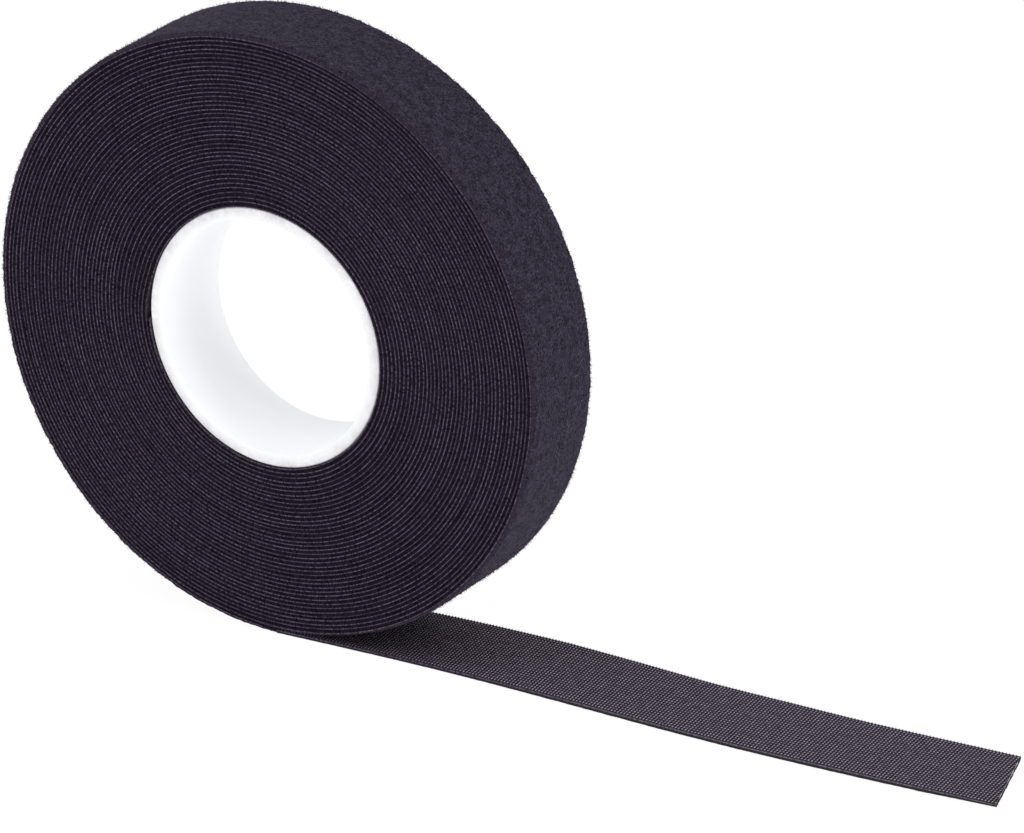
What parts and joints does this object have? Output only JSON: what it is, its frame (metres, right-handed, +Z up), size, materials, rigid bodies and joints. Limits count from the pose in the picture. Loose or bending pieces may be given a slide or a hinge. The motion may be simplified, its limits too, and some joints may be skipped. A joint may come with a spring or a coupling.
{
  "type": "hook and loop tape roll",
  "caption": "Roll of black back-to-back hook and loop tape wound on a white plastic core, with a free end that lies out flat and bends back up onto the roll.",
  "frame": {"origin": "on the floor under the roll's axis, at the middle of the tape's width", "axes": "+X along the free end of the tape, +Y along the roll's axis, +Z up"},
  "size_m": [0.2207, 0.02, 0.1233],
  "materials": {
    "core_plastic": "white moulded plastic, satin",
    "tab_film": "pale adhesive film",
    "hook_side": "black, rows of fine moulded hooks",
    "loop_side": "black, brushed loop fleece"
  },
  "bodies": {
    "roll": {"core": "core_plastic", "start_tab": "tab_film", "hook_web": "hook_side", "loop_web": "loop_side"},
    "tail_01": {"tail_hook_01": "hook_side", "tail_loop_01": "loop_side"},
    "tail_02": {"tail_hook_02": "hook_side", "tail_loop_02": "loop_side"},
    "tail_03": {"tail_hook_03": "hook_side", "tail_loop_03": "loop_side"},
    "tail_04": {"tail_hook_04": "hook_side", "tail_loop_04": "loop_side"},
    "tail_05": {"tail_hook_05": "hook_side", "tail_loop_05": "loop_side"},
    "tail_06": {"tail_hook_06": "hook_side", "tail_loop_06": "loop_side"},
    "tail_07": {"tail_hook_07": "hook_side", "tail_loop_07": "loop_side"},
    "tail_08": {"tail_hook_08": "hook_side", "tail_loop_08": "loop_side"},
    "tail_09": {"tail_hook_09": "hook_side", "tail_loop_09": "loop_side"}
  },
  "joints": [
    {"name": "tail_bend_01", "type": "hinge", "parent": "roll", "child": "tail_01", "pos_m": [0.00837, 0, 0.0007], "axis": [0, -1, 0], "range_deg": [0, 14.75], "stiffness_Nm_per_rad": 0.0016},
    {"name": "tail_bend_02", "type": "hinge", "parent": "tail_01", "child": "tail_02", "pos_m": [0.0251, 0, 0.0007], "axis": [0, -1, 0], "range_deg": [0, 14.75], "stiffness_Nm_per_rad": 0.0016},
    {"name": "tail_bend_03", "type": "hinge", "parent": "tail_02", "child": "tail_03", "pos_m": [0.04184, 0, 0.0007], "axis": [0, -1, 0], "range_deg": [0, 14.75], "stiffness_Nm_per_rad": 0.0016},
    {"name": "tail_bend_04", "type": "hinge", "parent": "tail_03", "child": "tail_04", "pos_m": [0.05858, 0, 0.0007], "axis": [0, -1, 0], "range_deg": [0, 14.75], "stiffness_Nm_per_rad": 0.0016},
    {"name": "tail_bend_05", "type": "hinge", "parent": "tail_04", "child": "tail_05", "pos_m": [0.07532, 0, 0.0007], "axis": [0, -1, 0], "range_deg": [0, 14.75], "stiffness_Nm_per_rad": 0.0016},
    {"name": "tail_bend_06", "type": "hinge", "parent": "tail_05", "child": "tail_06", "pos_m": [0.09205, 0, 0.0007], "axis": [0, -1, 0], "range_deg": [0, 14.75], "stiffness_Nm_per_rad": 0.0016},
    {"name": "tail_bend_07", "type": "hinge", "parent": "tail_06", "child": "tail_07", "pos_m": [0.10879, 0, 0.0007], "axis": [0, -1, 0], "range_deg": [0, 14.75], "stiffness_Nm_per_rad": 0.0016},
    {"name": "tail_bend_08", "type": "hinge", "parent": "tail_07", "child": "tail_08", "pos_m": [0.12553, 0, 0.0007], "axis": [0, -1, 0], "range_deg": [0, 14.75], "stiffness_Nm_per_rad": 0.0016},
    {"name": "tail_bend_09", "type": "hinge", "parent": "tail_08", "child": "tail_09", "pos_m": [0.14226, 0, 0.0007], "axis": [0, -1, 0], "range_deg": [0, 14.75], "stiffness_Nm_per_rad": 0.0016}
  ],
  "couplings": [
    {"joint": "tail_bend_02", "follows": "tail_bend_01", "ratio": 1},
    {"joint": "tail_bend_03", "follows": "tail_bend_01", "ratio": 1},
    {"joint": "tail_bend_04", "follows": "tail_bend_01", "ratio": 1},
    {"joint": "tail_bend_05", "follows": "tail_bend_01", "ratio": 1},
    {"joint": "tail_bend_06", "follows": "tail_bend_01", "ratio": 1},
    {"joint": "tail_bend_07", "follows": "tail_bend_01", "ratio": 1},
    {"joint": "tail_bend_08", "follows": "tail_bend_01", "ratio": 1},
    {"joint": "tail_bend_09", "follows": "tail_bend_01", "ratio": 1}
  ]
}
